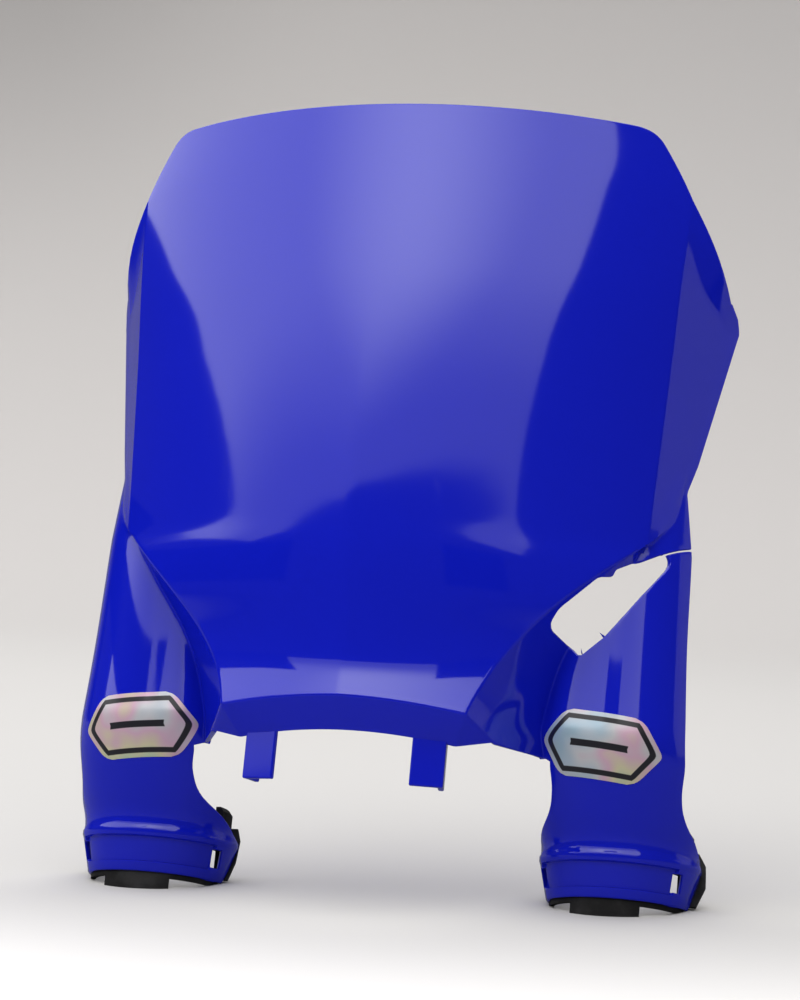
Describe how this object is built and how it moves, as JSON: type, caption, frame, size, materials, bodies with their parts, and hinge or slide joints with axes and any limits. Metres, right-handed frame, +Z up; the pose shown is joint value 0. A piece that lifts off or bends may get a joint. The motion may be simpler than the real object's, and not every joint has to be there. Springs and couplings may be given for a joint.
{
  "type": "motorcycle front number board",
  "caption": "Curved motocross front number board with folded side flanks, a lipped chin and two fork shroud legs that end in lined half collars.",
  "frame": {"origin": "middle of the footprint, on the ground that the collars and liners stand on", "axes": "+Z up, +Y backwards to the rider, +X to the rider's left; both fork axes lean 15 degrees from +Z towards +Y"},
  "size_m": [0.2924, 0.1268, 0.3504],
  "materials": {
    "board": "gloss",
    "liner": "matt",
    "decal": "iridescent silver foil"
  },
  "bodies": {
    "root": {"number_board": "board", "left_fork_liner": "liner", "right_fork_liner": "liner", "left_decal": "decal", "right_decal": "decal"}
  },
  "joints": []
}
